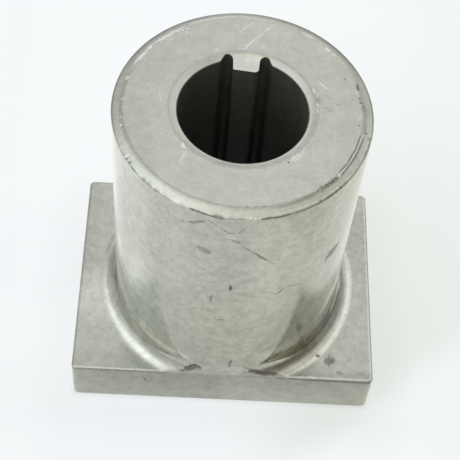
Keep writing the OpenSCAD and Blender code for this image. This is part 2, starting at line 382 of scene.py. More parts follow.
def body_section():
    """Every ring of the body, from the bore's upper edge outwards, down, inwards and up the bore."""
    outline, run = spaced_evenly(keyed_outline(), COLUMNS)
    ahead = np.roll(outline, -1, axis=0) - np.roll(outline, 1, axis=0)
    ahead /= np.linalg.norm(ahead, axis=1)[:, None]
    into_wall = np.column_stack([-ahead[:, 1], ahead[:, 0]])
    turned = np.array([[math.cos(KEY_TURN), -math.sin(KEY_TURN)], [math.sin(KEY_TURN), math.cos(KEY_TURN)]])
    mouth_angle = mouth_angles(outline, run) + KEY_TURN
    outer_angle = outer_angles()
    wall = outline @ turned
    edge = (outline + into_wall * BORE_EDGE_R) @ turned
    wall_r = np.linalg.norm(wall, axis=1)
    edge_r = np.linalg.norm(edge, axis=1)
    mouth = clock(mouth_angle) * MOUTH_R
    outward = clock(outer_angle)
    body = Section()

    # Upper mouth, with the key's end below the top face
    for plan in stretch(edge, mouth, MOUTH_RINGS):
        body.lay("mouth", [ring(plan, top_height(np.linalg.norm(plan, axis=1)))])

    # Top face
    bevel_r = HUB_R - HUB_BEVEL_W
    for share in eased(TOP_RINGS, 0.7):
        radius = MOUTH_R + (bevel_r - MOUTH_R) * share
        angle = mouth_angle + (outer_angle - mouth_angle) * smooth_step(share)
        body.lay("faced", [ring(clock(angle) * radius, top_height(radius))])

    # Outer bevel and the edge below it
    slope = math.atan2(HUB_BEVEL_H, HUB_BEVEL_W)
    edge_run = HUB_EDGE_R * math.tan((math.pi / 2 - slope) / 2)
    rim_r = HUB_R - edge_run * math.cos(slope)
    for share in np.arange(BEVEL_RINGS) / BEVEL_RINGS:
        radius = bevel_r + (rim_r - bevel_r) * share
        body.lay("faced", [ring(outward * radius, top_height(radius))])
    rim = ring(outward * rim_r, top_height(rim_r))
    corner = ring(outward * HUB_R, top_height(HUB_R))
    hub_top = corner - [0, 0, edge_run]
    body.lay("faced", bend(rim, corner, hub_top, EDGE_RINGS))

    # Side of the hub
    hub_foot = ring(outward * HUB_R, FLANGE_T + FILLET_R)
    for share in eased(HUB_RINGS, 0.6):
        body.lay("hub", [hub_top + (hub_foot - hub_top) * share])

    # Fillet and top of the flange, out to the rounded edge
    rim_reach = reach(outward, 0)
    turn = fillet_turn(rim_reach)
    worn = FLANGE_EDGE_R * edge_wear(outward * rim_reach[:, None])
    rounding = worn * np.tan(turn / 2)
    inner_reach = reach(outward, rounding * np.sin(turn))
    full_run = np.where(
        inner_reach < FILLET_END_R,
        FILLET_R * fillet_turn(inner_reach),
        FILLET_R * math.pi / 2 + inner_reach - FILLET_END_R,
    )
    for share in np.arange(SWEEP_RINGS) / SWEEP_RINGS:
        radius, height = sweep_point(full_run * share)
        body.lay("hub" if share == 0 else "flange", [ring(outward * radius[:, None], height)])
    radius, height = sweep_point(full_run)
    inner = ring(outward * radius[:, None], height)
    radius, height = sweep_point(np.where(
        rim_reach < FILLET_END_R,
        FILLET_R * turn,
        FILLET_R * math.pi / 2 + rim_reach - FILLET_END_R,
    ))
    rim = ring(outward * rim_reach[:, None], height)
    below = ring(outward * rim_reach[:, None], height - rounding)
    body.lay("flange", bend(inner, rim, below, EDGE_RINGS + 1))

    # Sides of the flange and the edge at its foot
    foot_top = ring(outward * rim_reach[:, None], FOOT_EDGE_R)
    foot_corner = ring(outward * rim_reach[:, None], 0)
    foot = ring(outward * reach(outward, FOOT_EDGE_R)[:, None], 0)
    body.lay("flange", stretch(below, foot_top, SIDE_RINGS))
    body.lay("flange", bend(foot_top, foot_corner, foot, EDGE_RINGS))

    # Underside
    foot_reach = np.linalg.norm(foot, axis=1)
    for share in eased(FOOT_RINGS, 0.7):
        radius = foot_reach + (MOUTH_R - foot_reach) * share
        angle = outer_angle + (mouth_angle - outer_angle) * smooth_step(share)
        body.lay("flange", [ring(clock(angle) * radius[:, None], foot_height(radius))])

    # Lower mouth and the bore
    for plan in stretch(mouth, edge, FOOT_RINGS):
        body.lay("mouth", [ring(plan, foot_height(np.linalg.norm(plan, axis=1)))])
    low_edge = ring(edge, foot_height(edge_r))
    low_corner = ring(wall, foot_height(wall_r))
    high_edge = ring(edge, top_height(edge_r))
    high_corner = ring(wall, top_height(wall_r))
    wall_start = low_corner + [0, 0, BORE_EDGE_R]
    wall_end = high_corner - [0, 0, BORE_EDGE_R]
    body.lay("bore", bend(low_edge, low_corner, wall_start, EDGE_RINGS - 2))
    body.lay("bore", stretch(wall_start, wall_end, WALL_RINGS))
    body.lay("mouth", bend(wall_end, high_corner, high_edge, EDGE_RINGS - 2))
    return body


# Wear in the metal itself

def noise_at(points, size, offset=0.0):
    """Smooth noise from -1 to 1 at each point, with hills of about that size in millimetres."""
    return np.array([noise.noise(Vector(p) / size + Vector((offset, 0, 0))) for p in points])


def edge_wear(plan):
    """How much more or less than usual the flange's edge is rounded at each point of its outline."""
    points = np.column_stack([plan, np.zeros(len(plan))])
    return 1 + 0.25 * noise_at(points, 6.0, 3.0) + 0.12 * noise_at(points, 1.5, 8.0)


def surface_normals(grid):
    """Outward normal at each point of the closed grid."""
    across = np.roll(grid, -1, axis=1) - np.roll(grid, 1, axis=1)
    down = np.roll(grid, -1, axis=0) - np.roll(grid, 1, axis=0)
    normals = np.cross(across, down)
    return normals / np.maximum(np.linalg.norm(normals, axis=2, keepdims=True), 1e-12)


WAVE_SIZE = 11.0
WAVE_DEPTH = 0.02
RIPPLE_SIZE = 4.0
RIPPLE_DEPTH = 0.006
CHIP_SIZE = 1.3
CHIP_DEPTH = 0.045
KNOCK_RIM = 0.15


def on_hub(arc, height):
    """Place on the hub's side at an arc from the middle of the front and a height."""
    turn = arc / HUB_R
    return (HUB_R * math.sin(turn), -HUB_R * math.cos(turn), height)


def on_flange(x, y):
    """Place on the fillet or the flange's top."""
    turn = fillet_turn(math.hypot(x, y))
    return (x, y, FLANGE_T + FILLET_R * (1 - math.sin(turn)))


def on_front(x, height):
    """Place on the front face."""
    return (x, -FLANGE_HALF_W, height)


def dented(points):
    """How deep the knocks and pits are at each point."""
    knocks = [(on_hub, mark, NICK_DEPTH) for mark in RIM_DARK]
    knocks += [(on_flange, mark, PIT_DEPTH * mark[4]) for mark in FLANGE_DARK]
    knocks += [(on_front, mark, NICK_DEPTH) for mark in FRONT_DARK]
    depth = np.zeros(len(points))
    for place, mark, deepest in knocks:
        start = np.array(place(*mark[:2]))
        along = np.array(place(*mark[2:4])) - start
        share = np.clip((points - start) @ along / (along @ along), 0, 1)
        away = np.linalg.norm(points - start - share[:, None] * along, axis=1)
        depth = np.maximum(depth, deepest * (1 - smooth_step(away / (mark[4] / 2 + KNOCK_RIM))))
    return depth + chipped(points)


def chipped(points):
    """How deep the small chips are along the front half of the edge round the hub's top."""
    radius = np.linalg.norm(points[:, :2], axis=1)
    near = smooth_step((radius - HUB_R + 0.9) / 0.7) * smooth_step((points[:, 2] - TOTAL_H + 1.9) / 0.6)
    near *= smooth_step((4 - points[:, 1]) / 8)
    depth = np.zeros(len(points))
    edge = near > 0
    rough = noise_at(points[edge], CHIP_SIZE, 11.0)
    depth[edge] = CHIP_DEPTH * near[edge] * smooth_step((rough - 0.05) / 0.5)
    return depth


def weathered(grid):
    """The grid with the slight unevenness of a formed and tumbled surface, always inwards."""
    points = grid.reshape(-1, 3)
    waves = (noise_at(points, WAVE_SIZE) - 1) / 2 * WAVE_DEPTH
    ripples = (noise_at(points, RIPPLE_SIZE, 5.0) - 1) / 2 * RIPPLE_DEPTH
    depth = (waves + ripples - dented(points)).reshape(grid.shape[:2] + (1,))
    return grid + surface_normals(grid) * depth


# Shader nodes

class Bench:
    """Places and wires the nodes of one material, world or node group."""

    def __init__(self, tree):
        self.tree = tree
        self.count = 0

    def put(self, kind, feeds=None, **settings):
        """Adds a node. feeds gives its inputs, each a plain value or a socket that is wired to it."""
        node = self.tree.nodes.new(kind)
        node.location = (200 * self.count, 0)
        self.count += 1
        for name, value in settings.items():
            setattr(node, name, value)
        for name, value in (feeds or {}).items():
            self.feed(node.inputs[name], value)
        return node

    def feed(self, socket, value):
        """Wires a socket to another one, or sets it to a plain value."""
        if isinstance(value, bpy.types.NodeSocket):
            self.tree.links.new(value, socket)
        else:
            socket.default_value = value

    def math(self, operation, first, second=0.0, clamp=False):
        """Result of a calculation with one or two numbers."""
        node = self.put("ShaderNodeMath", {0: first, 1: second}, operation=operation, use_clamp=clamp)
        return node.outputs[0]

    def vector(self, operation, first, second=(0, 0, 0), output=0):
        """Result of a calculation with one or two vectors."""
        return self.put("ShaderNodeVectorMath", {0: first, 1: second}, operation=operation).outputs[output]

    def ramp(self, value, low, high, to_low=0.0, to_high=1.0):
        """The value from low to high, brought smoothly to the range from to_low to to_high."""
        feeds = {"Value": value, "From Min": low, "From Max": high, "To Min": to_low, "To Max": to_high}
        return self.put("ShaderNodeMapRange", feeds, interpolation_type="SMOOTHSTEP").outputs[0]

    def blend(self, share, first, second, way="MIX"):
        """Two colours mixed by a share."""
        node = self.put("ShaderNodeMix", {0: share, 6: first, 7: second}, data_type="RGBA", blend_type=way)
        return node.outputs[2]

    def noise(self, place, size, detail=2.0, roughness=0.5):
        """Noise from 0 to 1 with grains of about that size in millimetres."""
        feeds = {"Vector": place, "Scale": 1 / size, "Detail": detail, "Roughness": roughness}
        return self.put("ShaderNodeTexNoise", feeds).outputs[0]


def new_group(name, inputs, outputs):
    """An empty shader node group with its named inputs and outputs. Returns the group, bench, entry and exit."""
    group = bpy.data.node_groups.new(name, "ShaderNodeTree")
    for label, kind, value in inputs:
        socket = group.interface.new_socket(label, in_out="INPUT", socket_type=kind)
        socket.default_value = value
    for label, kind in outputs:
        group.interface.new_socket(label, in_out="OUTPUT", socket_type=kind)
    bench = Bench(group)
    entry = bench.put("NodeGroupInput")
    leave = bench.put("NodeGroupOutput")
    return group, bench, entry, leave


FLOAT = "NodeSocketFloat"
VECTOR = "NodeSocketVector"
COLOUR = "NodeSocketColor"


def part_places_group():
    """Places on the part in millimetres: the body's own, in plan, and unrolled round the hub."""
    outputs = [("Body", VECTOR), ("Plan", VECTOR), ("Unrolled", VECTOR), ("Height", FLOAT)]
    group, bench, entry, leave = new_group("part_places", [], outputs)
    place = bench.put("ShaderNodeTexCoord").outputs["Object"]
    body = bench.vector("MULTIPLY", place, (1 / MM,) * 3)
    split = bench.put("ShaderNodeSeparateXYZ", {0: body}).outputs
    turn = bench.math("ARCTAN2", split[0], bench.math("MULTIPLY", split[1], -1.0))
    arc = bench.math("MULTIPLY", turn, HUB_R)
    plan = bench.put("ShaderNodeCombineXYZ", {0: split[0], 1: split[1]}).outputs[0]
    unrolled = bench.put("ShaderNodeCombineXYZ", {0: arc, 1: split[2]}).outputs[0]
    for name, socket in (("Body", body), ("Plan", plan), ("Unrolled", unrolled)):
        bench.feed(leave.inputs[name], socket)
    bench.feed(leave.inputs["Height"], split[2])
    return group


def steel_grain_group():
    """Cloudy tone, grain and fine scratches of the steel, from 0 to 1, and a place that wanders a little."""
    inputs = [("Body", VECTOR, (0, 0, 0))]
    outputs = [("Clouds", FLOAT), ("Grain", FLOAT), ("Fine", FLOAT), ("Scratches", FLOAT), ("Height", FLOAT)]
    outputs += [("Wander", VECTOR)]
    group, bench, entry, leave = new_group("steel_grain", inputs, outputs)
    body = entry.outputs["Body"]
    clouds = bench.noise(body, 7.0, 2.0, 0.5)
    grain = bench.noise(body, 1.8, 4.0, 0.78)
    fine = bench.noise(body, 0.5, 1.0, 0.6)
    scratches = 0.0
    for turn, tilt in ((50, 3), (-35, 40), (12, 80)):
        lie = bench.put("ShaderNodeMapping", {
            "Vector": body, "Rotation": (math.radians(tilt), 0, math.radians(turn)), "Scale": (0.16, 3.2, 3.2)
        })
        streak = bench.ramp(bench.noise(lie.outputs[0], 1.0, 1.0), 0.7, 0.8)
        scratches = bench.math("MAXIMUM", scratches, streak)
    height = bench.math("MULTIPLY", grain, GRAIN_HEIGHT)
    feeds = {"Vector": body, "Scale": 1 / 0.8, "Detail": 1.0}
    drift = bench.vector("SUBTRACT", bench.put("ShaderNodeTexNoise", feeds).outputs[1], (0.5, 0.5, 0.5))
    wander = bench.vector("MULTIPLY", drift, (0.7, 0.7, 0.7))
    results = {"Clouds": clouds, "Grain": grain, "Fine": fine, "Scratches": scratches, "Height": height}
    results["Wander"] = wander
    for name, socket in results.items():
        bench.feed(leave.inputs[name], socket)
    return group


def mark_group():
    """Adds one mark to the cover so far: full along its middle, thinner towards its ends.

    The place is handed on to the next mark, moved by next to nothing with the cover, because marks that
    don't wait for each other need more room in the renderer's shader stack than it has.
    """
    inputs = [
        ("Place", VECTOR, (0, 0, 0)), ("Cover", FLOAT, 0.0), ("From", VECTOR, (0, 0, 0)),
        ("To", VECTOR, (1, 0, 0)), ("Width", FLOAT, 0.3), ("Strength", FLOAT, 1.0)
    ]
    group, bench, entry, leave = new_group("mark", inputs, [("Place", VECTOR), ("Cover", FLOAT)])
    start = entry.outputs["From"]
    along = bench.vector("SUBTRACT", entry.outputs["To"], start)
    away = bench.vector("SUBTRACT", entry.outputs["Place"], start)
    length = bench.vector("DOT_PRODUCT", along, along, 1)
    share = bench.math("DIVIDE", bench.vector("DOT_PRODUCT", away, along, 1), length, clamp=True)
    nearest = bench.put("ShaderNodeVectorMath", {0: along, "Scale": share}, operation="SCALE").outputs[0]
    distance = bench.vector("LENGTH", bench.vector("SUBTRACT", away, nearest), output=1)
    from_middle = bench.math("ABSOLUTE", bench.math("SUBTRACT", share, 0.5))
    slim = bench.ramp(from_middle, 0.2, 0.6, 1.0, 0.5)
    reach_out = bench.math("MULTIPLY", bench.math("MULTIPLY", entry.outputs["Width"], 0.7), slim)
    inner = bench.math("MULTIPLY", reach_out, 0.4)
    shape = bench.ramp(distance, inner, reach_out, 1.0, 0.0)
    cover = bench.math("MULTIPLY", shape, entry.outputs["Strength"])
    cover = bench.math("MAXIMUM", cover, entry.outputs["Cover"])
    nudge = bench.math("MULTIPLY", cover, 1e-6)
    bench.feed(leave.inputs["Place"], bench.vector("ADD", entry.outputs["Place"], nudge))
    bench.feed(leave.inputs["Cover"], cover)
    return group


class Steel:
    """One steel finish while it is made: tone, brightness and roughness, with marks, and bands of painted highlight and
    painted shade, on top.
    """

    def __init__(self, name, groups):
        self.material = bpy.data.materials.new(name)
        self.material.use_nodes = True
        tree = self.material.node_tree
        tree.nodes.clear()
        self.bench = Bench(tree)
        self.groups = groups
        self.places = self.bench.put("ShaderNodeGroup", node_tree=groups["places"]).outputs
        grain = self.bench.put("ShaderNodeGroup", {"Body": self.places["Body"]}, node_tree=groups["grain"])
        self.grain = grain.outputs

    def wandering(self, place, share=1.0):
        """The named place, with a share of the slight wander that makes a mark ragged."""
        wander = self.bench.vector("MULTIPLY", self.grain["Wander"], (share, share, share))
        return self.bench.vector("ADD", self.places[place], wander)

    def marks(self, marks, place, as_point):
        """How much these marks cover the surface."""
        cover = 0.0
        for mark in marks:
            feeds = {
                "Place": place, "Cover": cover, "From": as_point(*mark[:2]), "To": as_point(*mark[2:4]),
                "Width": mark[4], "Strength": mark[5]
            }
            place, cover = self.bench.put("ShaderNodeGroup", feeds, node_tree=self.groups["mark"]).outputs
        return cover

    def band(self, value, low, high, soft):
        """1 between low and high, with soft sides."""
        rise = self.bench.ramp(value, low - soft, low + soft)
        fall = self.bench.ramp(value, high - soft, high + soft, 1.0, 0.0)
        return self.bench.math("MULTIPLY", rise, fall)

    def both(self, *masks):
        """Where all of these masks are."""
        product = masks[0]
        for mask in masks[1:]:
            product = self.bench.math("MULTIPLY", product, mask)
        return product

    def any(self, *masks):
        """Where any of these masks is."""
        most = masks[0]
        for mask in masks[1:]:
            most = self.bench.math("MAXIMUM", most, mask)
        return most

    def tinted(self, share, colour):
        """White, turning to the colour with the share."""
        return self.bench.blend(share, (1, 1, 1, 1), colour + (1,))

    def finish(self, tone, roughness, contrast, bright, dark, *shades):
        """Completes the material from its even tone, its grain contrast, where it is bright or dark, and its shades,
        which paint highlights, shade and tints into the colour.
        """
        bench = self.bench
        clouds = bench.ramp(self.grain["Clouds"], 0.3, 0.7, 0.97, 1.03)
        speckle = bench.ramp(self.grain["Grain"], 0.2, 0.8, 1 - contrast, 1 + contrast)
        fine = bench.ramp(self.grain["Fine"], 0.3, 0.7, 0.975, 1.025)
        colour = bench.blend(1.0, tone + (1,), self.both(clouds, speckle, fine), "MULTIPLY")
        for shade in shades:
            colour = bench.blend(1.0, colour, shade, "MULTIPLY")
        scratched = bench.math("MULTIPLY", self.grain["Scratches"], FINE_SCRATCH)
        # Bright places take the colour of bare steel and dark ones that of grime: the listed marks, and the painted
        # highlights and painted shade along edges and bands
        colour = bench.blend(bench.math("MAXIMUM", bright, scratched), colour, BARE_STEEL_AND_HIGHLIGHT)
        colour = bench.blend(dark, colour, GRIME_AND_SHADE)
        dull = bench.math("ADD", bench.ramp(self.grain["Grain"], 0.3, 0.7, -0.03, 0.03), roughness)
        # Marks and painted bands alike are made a little rougher and sunk a little
        worn = bench.math("MAXIMUM", bright, dark)
        rough = bench.math("ADD", dull, bench.math("MULTIPLY", worn, 0.2))
        low = bench.math("MULTIPLY", worn, -MARK_DEPTH)
        height = bench.math("ADD", self.grain["Height"], low)
        bump = bench.put("ShaderNodeBump", {"Height": height, "Distance": MM})
        metallic = bench.ramp(bright, 0.0, 1.0, 1.0, BURR_METALLIC)
        metal = bench.put("ShaderNodeBsdfPrincipled", {
            "Base Color": colour, "Metallic": metallic, "Roughness": rough, "Normal": bump.outputs[0]
        })
        bench.put("ShaderNodeOutputMaterial", {"Surface": metal.outputs[0]})
        return self.material


GRAIN_HEIGHT = 0.012
FINE_SCRATCH = 0.12
MARK_DEPTH = 0.02
BURR_METALLIC = 0.4
# Colour of bare steel in scratches and nicks, and also of painted highlights along edges
BARE_STEEL_AND_HIGHLIGHT = (0.9, 0.905, 0.87, 1)
# Colour of grime in dark marks, and also of painted shade along edges and in grooves
GRIME_AND_SHADE = (0.11, 0.105, 0.085, 1)


def flat(x, y):
    """A point of a plan or unrolled place."""
    return (x, y, 0)


def faced_steel(groups):
    """The turned top face with its bevel, scuffed along both edges, with painted highlights and painted shade over the
    bevel, the face and the mouth's border.
    """
    steel = Steel("faced_steel", groups)
    bench = steel.bench
    plan = steel.wandering("Plan")
    steady = steel.wandering("Plan", 0.3)
    rim_place = steel.wandering("Unrolled", 0.3)
    radius = bench.vector("LENGTH", steel.wandering("Plan", 0.5), output=1)
    plain_radius = bench.vector("LENGTH", steel.places["Plan"], output=1)
    split = bench.put("ShaderNodeSeparateXYZ", {0: steel.places["Plan"]}).outputs
    across = split[0]
    depth = split[1]
    patchy = bench.ramp(steel.grain["Grain"], 0.42, 0.58)
    front = bench.ramp(depth, 0.0, 13.0, 1.0, 0.0)
    back = bench.ramp(depth, 5.0, 14.0)
    front_left = steel.both(bench.ramp(depth, -16.0, -4.0, 1.0, 0.0), bench.ramp(across, -8.0, 12.0, 1.0, 0.35))
    front_right = steel.both(bench.ramp(depth, -10.0, -3.0, 1.0, 0.0), bench.ramp(across, 6.0, 14.0))
    back_left = steel.both(bench.ramp(depth, 5.0, 11.0), bench.ramp(across, -6.0, 2.0, 1.0, 0.0))
    # Painted shade in a soft groove along the bevel's inner edge, and a painted highlight on its crest
    groove = steel.band(radius, 20.12, 20.6, 0.16)
    crest = steel.band(radius, 20.95, 21.75, 0.2)
    # Painted shade: a dark outline along the back of the top's outer edge
    outline = steel.both(bench.ramp(plain_radius, 21.7, 22.0), bench.ramp(depth, 6.0, 20.0, 0.35, 1.0))
    outline = steel.both(outline, bench.ramp(depth, -10.0, 0.0))
    # Bright bands along the bevel's edges, partly worn bare steel and partly painted highlight
    right_rim = steel.both(steel.band(radius, 21.55, 21.85, 0.1), bench.ramp(across, 2.0, 7.0), bench.ramp(depth, 0.0, 4.0, 1.0, 0.0))
    bright = steel.any(
        steel.marks(TOP_BRIGHT, plan, flat),
        steel.marks(TOP_BRIGHT_LINES, steady, flat),
        steel.marks(RIM_BRIGHT, rim_place, flat),
        steel.both(right_rim, bench.ramp(patchy, 0.0, 1.0, 0.2, 0.38)),
        steel.both(bench.ramp(radius, 21.4, 21.9), front_left, patchy, 0.3),
        steel.both(steel.band(radius, 20.45, 20.85, 0.15), back_left, patchy, 0.4),
    )
    # Dark: the listed marks, the groove's painted shade at the front right and the painted outline
    dark = steel.any(
        steel.marks(TOP_DARK, plan, flat),
        steel.marks(TOP_DARK_LINES, steady, flat),
        steel.marks(RIM_DARK, rim_place, flat),
        steel.both(groove, front_right, patchy, 0.3),
        outline,
    )
    # Painted light and shade: the groove, crest and inner bevel, each side and the back of the bevel, the top face, the
    # mouth's border and the rounded edge, each lighter or darker as the light falls on it
    groove_shade = bench.ramp(steel.both(groove, front), 0.0, 1.0, 1.0, 0.78)
    crest_shade = bench.ramp(steel.both(crest, front), 0.0, 1.0, 1.0, 1.1)
    inner_bevel = steel.both(steel.band(radius, 20.5, 20.95, 0.15), bench.ramp(depth, -3.0, 3.0, 1.0, 0.0))
    inner_tone = steel.both(bench.ramp(across, -12.0, -4.0, 0.91, 1.0), bench.ramp(across, 2.0, 9.0, 1.0, 0.8))
    inner_shade = bench.ramp(inner_bevel, 0.0, 1.0, 1.0, inner_tone)
    left_front = steel.both(bench.ramp(across, -21.5, -17.5, 0.91, 1.0), bench.ramp(across, -14.0, -4.0, 0.95, 1.0))
    left_back = steel.both(bench.ramp(across, -21.5, -17.5, 0.89, 1.0), bench.ramp(across, -14.0, -4.0, 0.98, 1.0))
    left_bevel = bench.ramp(depth, -2.0, 4.0, left_front, left_back)
    right_front = steel.both(bench.ramp(across, 5.0, 10.0, 1.0, 0.93), bench.ramp(across, 15.5, 20.0, 1.0, 1.15))
    right_bevel = bench.ramp(depth, -4.0, 4.0, right_front, bench.ramp(across, 0.0, 12.0, 1.0, 0.97))
    right_dip = steel.both(steel.band(depth, -1.5, 2.5, 2.0), bench.ramp(across, 10.0, 18.0))
    right_bevel = steel.both(right_bevel, bench.ramp(right_dip, 0.0, 1.0, 1.0, 0.91))
    back_tone = bench.ramp(plain_radius, 20.6, 21.75, 1.25, 0.8)
    back_bevel = bench.ramp(back, 0.0, 1.0, 1.0, back_tone)
    on_bevel = bench.ramp(radius, 20.25, 20.5)
    bevel_shade = bench.ramp(on_bevel, 0.0, 1.0, 1.0, steel.both(left_bevel, right_bevel, back_bevel))
    top_shade = steel.both(bench.ramp(across, -20.5, -10.0, 0.91, 1.015), bench.ramp(across, 12.0, 19.0, 1.0, 0.96))
    rounded = steel.both(bench.ramp(plain_radius, 22.0, 22.12), bench.ramp(depth, -4.0, 4.0, 1.0, 0.0))
    rounded = steel.both(rounded, bench.ramp(bench.math("ABSOLUTE", across), 4.0, 9.0))
    rounded_shade = bench.ramp(rounded, 0.0, 1.0, 1.0, 1.15)
    mouth_shade = bench.ramp(radius, MOUTH_R, MOUTH_R + 0.8, 0.82, 1.0)
    shade = steel.both(groove_shade, crest_shade, inner_shade, bevel_shade, top_shade, mouth_shade, rounded_shade)
    # Painted tints of the reflections: warmer on the bevel at the front, cooler at the back left
    warmth = steel.tinted(steel.both(on_bevel, bench.ramp(depth, -17.0, -12.0, 1.0, 0.0)), (1.0, 0.994, 0.965))
    coolness = steel.tinted(steel.both(on_bevel, back_left), (1.0, 1.0, 1.05))
    return steel.finish((0.54, 0.557, 0.508), 0.27, 0.1, bright, dark, shade, warmth, coolness)


def countersunk_steel(groups):
    """The bevel at the bore's mouth, with its bright rim and lip, partly burnished and partly painted highlight, and
    the key's end.
    """
    steel = Steel("countersunk_steel", groups)
    bench = steel.bench
    place = steel.places["Plan"]
    radius = bench.vector("LENGTH", place, output=1)
    split = bench.put("ShaderNodeSeparateXYZ", {0: place}).outputs
    off_key = bench.math("ABSOLUTE", bench.math("SUBTRACT", split[0], BORE_R * math.sin(KEY_TURN)))
    key = steel.both(bench.ramp(off_key, KEY_W / 2, KEY_W / 2 + 0.2, 1.0, 0.0), bench.ramp(split[1], 5.0, 7.0))
    off = bench.math("SUBTRACT", 1.0, key)
    front = bench.ramp(split[1], -6.0, 6.0, 1.0, 0.3)
    # The rim and lip are bright: partly burnished wear and partly painted highlight, the rim brighter at the front
    rim = steel.both(steel.band(radius, BORE_R + 0.28, BORE_R + 0.6, 0.12), front, off, 0.45)
    lip = steel.both(bench.ramp(radius, BORE_R + 0.1, BORE_R + 0.22, 1.0, 0.0), off, 0.8)
    # Painted light and shade: the bevel lighter towards the light, its border darker, the key's end lighter
    towards_light = bench.vector("DOT_PRODUCT", place, (-0.6, -0.8, 0), 1)
    cone_shade = bench.ramp(towards_light, -6.0, 4.0, 0.95, 1.2)
    border_shade = bench.ramp(radius, MOUTH_R - 0.35, MOUTH_R, 1.0, 0.86)
    end_shade = bench.ramp(steel.both(key, bench.ramp(radius, 11.8, 12.3, 1.0, 0.0)), 0.0, 1.0, 1.0, 1.2)
    shade = steel.both(cone_shade, border_shade, end_shade)
    by_key = steel.both(bench.ramp(radius, 11.5, 12.0), bench.ramp(split[1], 9.5, 11.5))
    warmth = steel.tinted(by_key, (1.05, 1.03, 0.97))
    return steel.finish((0.615, 0.628, 0.588), 0.5, 0.1, rim, lip, shade, warmth)


def tumbled_steel(groups):
    """The side of the hub, its gloss changing with height, with a painted highlight near its foot and painted patches
    of light and shade that stand in for its reflections.
    """
    steel = Steel("tumbled_steel", groups)
    bench = steel.bench
    place = steel.wandering("Unrolled", 0.7)
    rim_place = steel.wandering("Unrolled", 0.3)
    height = steel.places["Height"]
    bright = steel.any(steel.marks(HUB_BRIGHT, place, flat), steel.marks(RIM_BRIGHT, rim_place, flat))
    dark = steel.any(steel.marks(HUB_DARK, place, flat), steel.marks(RIM_DARK, rim_place, flat))
    arc = bench.put("ShaderNodeSeparateXYZ", {0: steel.places["Unrolled"]}).outputs[0]
    from_front = bench.math("ABSOLUTE", arc)
    facing = bench.ramp(from_front, 36.0, 46.0, 1.0, 0.0)
    on_right = bench.ramp(arc, -2.0, 2.0)
    # Painted light and shade standing in for the hub's reflections: lighter near the foot, darker low down, dark and
    # light patches where the flange shows in it, belts and spots on the right, a dark diagonal streak on the left, a
    # lighter side edge and a lighter band under the rim
    left_foot = bench.ramp(height, 15.2, 16.9, 0.85, 0.0)
    right_foot = bench.ramp(height, 16.5, 19.5, 0.75, 0.0)
    foot = bench.ramp(on_right, 0.0, 1.0, left_foot, right_foot)
    foot_shade = bench.math("ADD", steel.both(bench.ramp(from_front, 5.0, 11.0), facing, foot), 1.0)
    low = bench.ramp(height, 18.0, 32.0, 0.93, 1.0)
    low_left = steel.both(bench.ramp(height, 17.5, 19.5), bench.ramp(height, 25.5, 27.5, 1.0, 0.0))
    low_left = steel.both(low_left, bench.ramp(arc, -16.0, -12.5, 1.0, 0.0), facing)
    above = steel.both(bench.ramp(height, 27.0, 28.5), bench.ramp(height, 30.0, 34.0, 1.0, 0.0))
    above = steel.both(above, bench.ramp(arc, -20.0, -16.0, 1.0, 0.0), facing)
    right_side = steel.both(bench.ramp(arc, -8.0, 4.0), facing)
    middle = steel.both(steel.band(arc, 0.0, 5.0, 2.0), bench.ramp(height, 26.0, 32.0, 1.0, 0.0))
    right_lie = bench.math("SUBTRACT", height, arc)
    low_right = steel.both(steel.band(right_lie, -0.8, 4.2, 1.5), steel.band(arc, 16.0, 22.0, 1.5))
    right_belt = steel.both(steel.band(height, 19.8, 23.3, 1.0), steel.band(arc, 15.5, 24.0, 1.5))
    right_spot = steel.both(steel.band(height, 34.5, 38.5, 1.5), steel.band(arc, 19.0, 23.0, 1.5))
    high_right = steel.both(bench.ramp(height, 48.0, 58.0), steel.band(arc, 11.0, 20.0, 2.0))
    far_foot = steel.both(steel.band(arc, 26.0, 32.0, 1.0), bench.ramp(height, 20.0, 21.5, 1.0, 0.0))
    left_lie = bench.math("ADD", height, arc)
    streak = steel.both(steel.band(left_lie, -4.6, 1.8, 1.4), steel.band(arc, -27.0, -18.7, 1.3))
    left_belt = steel.both(steel.band(left_lie, 2.5, 8.5, 2.0), steel.band(arc, -24.0, -18.5, 1.5))
    edge_place = bench.math("ADD", from_front, bench.ramp(height, 26.0, 30.0, 0.0, 0.8))
    side_edge = steel.both(bench.ramp(edge_place, 24.5, 28.0), facing, bench.ramp(height, 33.0, 39.0, 1.0, 0.0))
    side_light = bench.ramp(on_right, 0.0, 1.0, 1.53, 1.4)
    under_rim = steel.both(bench.ramp(height, 63.5, 64.2), bench.ramp(from_front, 6.0, 12.0))
    shade = steel.both(foot_shade, low)
    for mask, factor in (
        (low_left, 0.84), (above, 1.12), (right_side, 1.03), (middle, 1.035), (low_right, 0.8), (under_rim, 1.12),
        (right_belt, 0.91), (right_spot, 0.95), (high_right, 1.04), (far_foot, 1.15), (streak, 0.74),
        (left_belt, 0.95), (side_edge, side_light),
    ):
        shade = steel.both(shade, bench.ramp(mask, 0.0, 1.0, 1.0, factor))
    warm = steel.both(bench.ramp(height, 34.0, 48.0, 1.0, 0.0), bench.ramp(from_front, 12.0, 18.0, 1.0, 0.0))
    warmth = steel.tinted(warm, (1.0, 0.992, 0.96))
    roughness = bench.ramp(height, 22.0, 38.0, 0.12, 0.2)
    scoured = steel.both(bench.ramp(height, 17.0, 25.0, 0.22, 0.0), bench.ramp(arc, 8.0, 12.0), facing)
    roughness = bench.math("MAXIMUM", roughness, scoured)
    return steel.finish((0.53, 0.545, 0.5), roughness, 0.2, bright, dark, shade, warmth)


